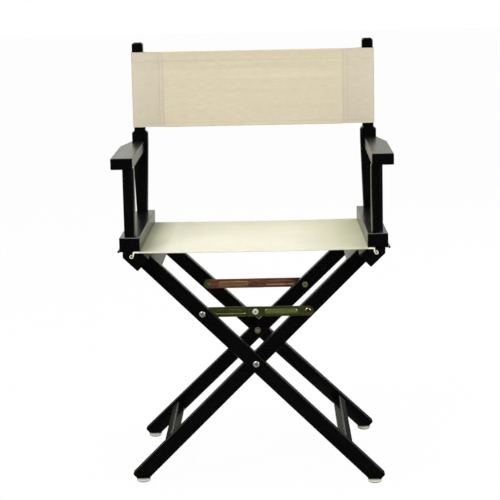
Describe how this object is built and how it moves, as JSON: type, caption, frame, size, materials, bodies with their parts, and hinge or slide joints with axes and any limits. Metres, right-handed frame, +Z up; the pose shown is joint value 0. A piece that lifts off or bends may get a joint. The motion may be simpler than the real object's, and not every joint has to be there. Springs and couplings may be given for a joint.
{
  "type": "folding director chair",
  "caption": "Folding armchair: side frames hinged on crossed leg frames, ribbed folding stays, slung canvas seat and slip-on canvas back.",
  "frame": {"origin": "middle of the footprint on the floor, under the chair's centre", "axes": "+X to the right as seen from the front, the chair faces -Y, +Z up"},
  "size_m": [0.5558, 0.4252, 0.864],
  "materials": {
    "black_wood": "black satin lacquer over hardwood",
    "dowel_wood": "bare turned dowel",
    "back_fabric": "cream cotton duck, matte",
    "seat_fabric": "natural cotton duck, matte",
    "stay_steel": "pressed steel, yellow zinc plated",
    "nickel": "bright warm nickel plate",
    "dull_steel": "zinc plated, dull",
    "glide_plastic": "off-white moulded nylon"
  },
  "bodies": {
    "left_side": {"side_rail_left": "black_wood", "front_post_left": "black_wood", "rear_upright_left": "black_wood", "armrest_left": "black_wood", "hinge_upper_leaf_left_front": "dull_steel", "hinge_upper_leaf_left_rear": "dull_steel", "hinge_pin_left_front": "dull_steel", "hinge_pin_left_rear": "dull_steel", "seat_canvas": "seat_fabric", "back_canvas": "back_fabric"},
    "outer_legs": {"top_rail_outer": "black_wood", "front_leg_outer": "black_wood", "rear_leg_outer": "black_wood", "stretcher_outer": "black_wood", "glide_outer_front": "glide_plastic", "glide_outer_rear": "glide_plastic", "hinge_lower_leaf_left_front": "dull_steel", "hinge_lower_leaf_left_rear": "dull_steel", "seat_dowel_outer": "dowel_wood", "pivot_bolt_front": "nickel", "pivot_bolt_rear": "nickel", "pivot_spacer_front": "dull_steel", "pivot_spacer_rear": "dull_steel", "pivot_nut_front": "dull_steel", "pivot_nut_rear": "dull_steel", "stay_pin_left_front": "nickel", "stay_pin_left_rear": "nickel"},
    "inner_legs": {"top_rail_inner": "black_wood", "front_leg_inner": "black_wood", "rear_leg_inner": "black_wood", "stretcher_inner": "black_wood", "glide_inner_front": "glide_plastic", "glide_inner_rear": "glide_plastic", "hinge_lower_leaf_right_front": "dull_steel", "hinge_lower_leaf_right_rear": "dull_steel", "seat_dowel_inner": "dowel_wood", "stay_pin_right_front": "nickel", "stay_pin_right_rear": "nickel"},
    "right_side": {"side_rail_right": "black_wood", "front_post_right": "black_wood", "rear_upright_right": "black_wood", "armrest_right": "black_wood", "hinge_upper_leaf_right_front": "dull_steel", "hinge_upper_leaf_right_rear": "dull_steel", "hinge_pin_right_front": "dull_steel", "hinge_pin_right_rear": "dull_steel"},
    "stay_left_front": {"stay_half_left_front": "stay_steel", "stay_rivet_left_front": "nickel"},
    "stay_left_rear": {"stay_half_left_rear": "stay_steel", "stay_rivet_left_rear": "nickel"},
    "stay_right_front": {"stay_half_right_front": "stay_steel", "stay_rivet_right_front": "nickel"},
    "stay_right_rear": {"stay_half_right_rear": "stay_steel", "stay_rivet_right_rear": "nickel"}
  },
  "joints": [
    {"name": "fold", "type": "hinge", "parent": "left_side", "child": "outer_legs", "pos_m": [-0.263, 0, 0.47135], "axis": [0, 1, 0], "range_deg": [0, 36], "deforming": ["seat_canvas", "back_canvas"]},
    {"name": "scissor", "type": "hinge", "parent": "outer_legs", "child": "inner_legs", "pos_m": [0, 0, 0.2405], "axis": [0, -1, 0], "range_deg": [0, 72]},
    {"name": "right_hinge", "type": "hinge", "parent": "inner_legs", "child": "right_side", "pos_m": [0.263, 0, 0.47135], "axis": [0, 1, 0], "range_deg": [0, 36]},
    {"name": "stay_left_front_turn", "type": "hinge", "parent": "outer_legs", "child": "stay_left_front", "pos_m": [-0.10402, -0.1586, 0.34095], "axis": [0, 1, 0], "range_deg": [0, 40.1]},
    {"name": "stay_left_rear_turn", "type": "hinge", "parent": "outer_legs", "child": "stay_left_rear", "pos_m": [-0.10402, 0.1586, 0.34095], "axis": [0, 1, 0], "range_deg": [0, 40.1]},
    {"name": "stay_right_front_turn", "type": "hinge", "parent": "inner_legs", "child": "stay_right_front", "pos_m": [0.10402, -0.161, 0.34095], "axis": [0, -1, 0], "range_deg": [0, 40.1]},
    {"name": "stay_right_rear_turn", "type": "hinge", "parent": "inner_legs", "child": "stay_right_rear", "pos_m": [0.10402, 0.161, 0.34095], "axis": [0, -1, 0], "range_deg": [0, 40.1]}
  ],
  "couplings": [
    {"joint": "scissor", "follows": "fold", "ratio": 2},
    {"joint": "right_hinge", "follows": "fold", "ratio": 1},
    {"joint": "stay_left_front_turn", "follows": "fold", "ratio": 1.112},
    {"joint": "stay_left_rear_turn", "follows": "fold", "ratio": 1.112},
    {"joint": "stay_right_front_turn", "follows": "fold", "ratio": 1.112},
    {"joint": "stay_right_rear_turn", "follows": "fold", "ratio": 1.112}
  ]
}
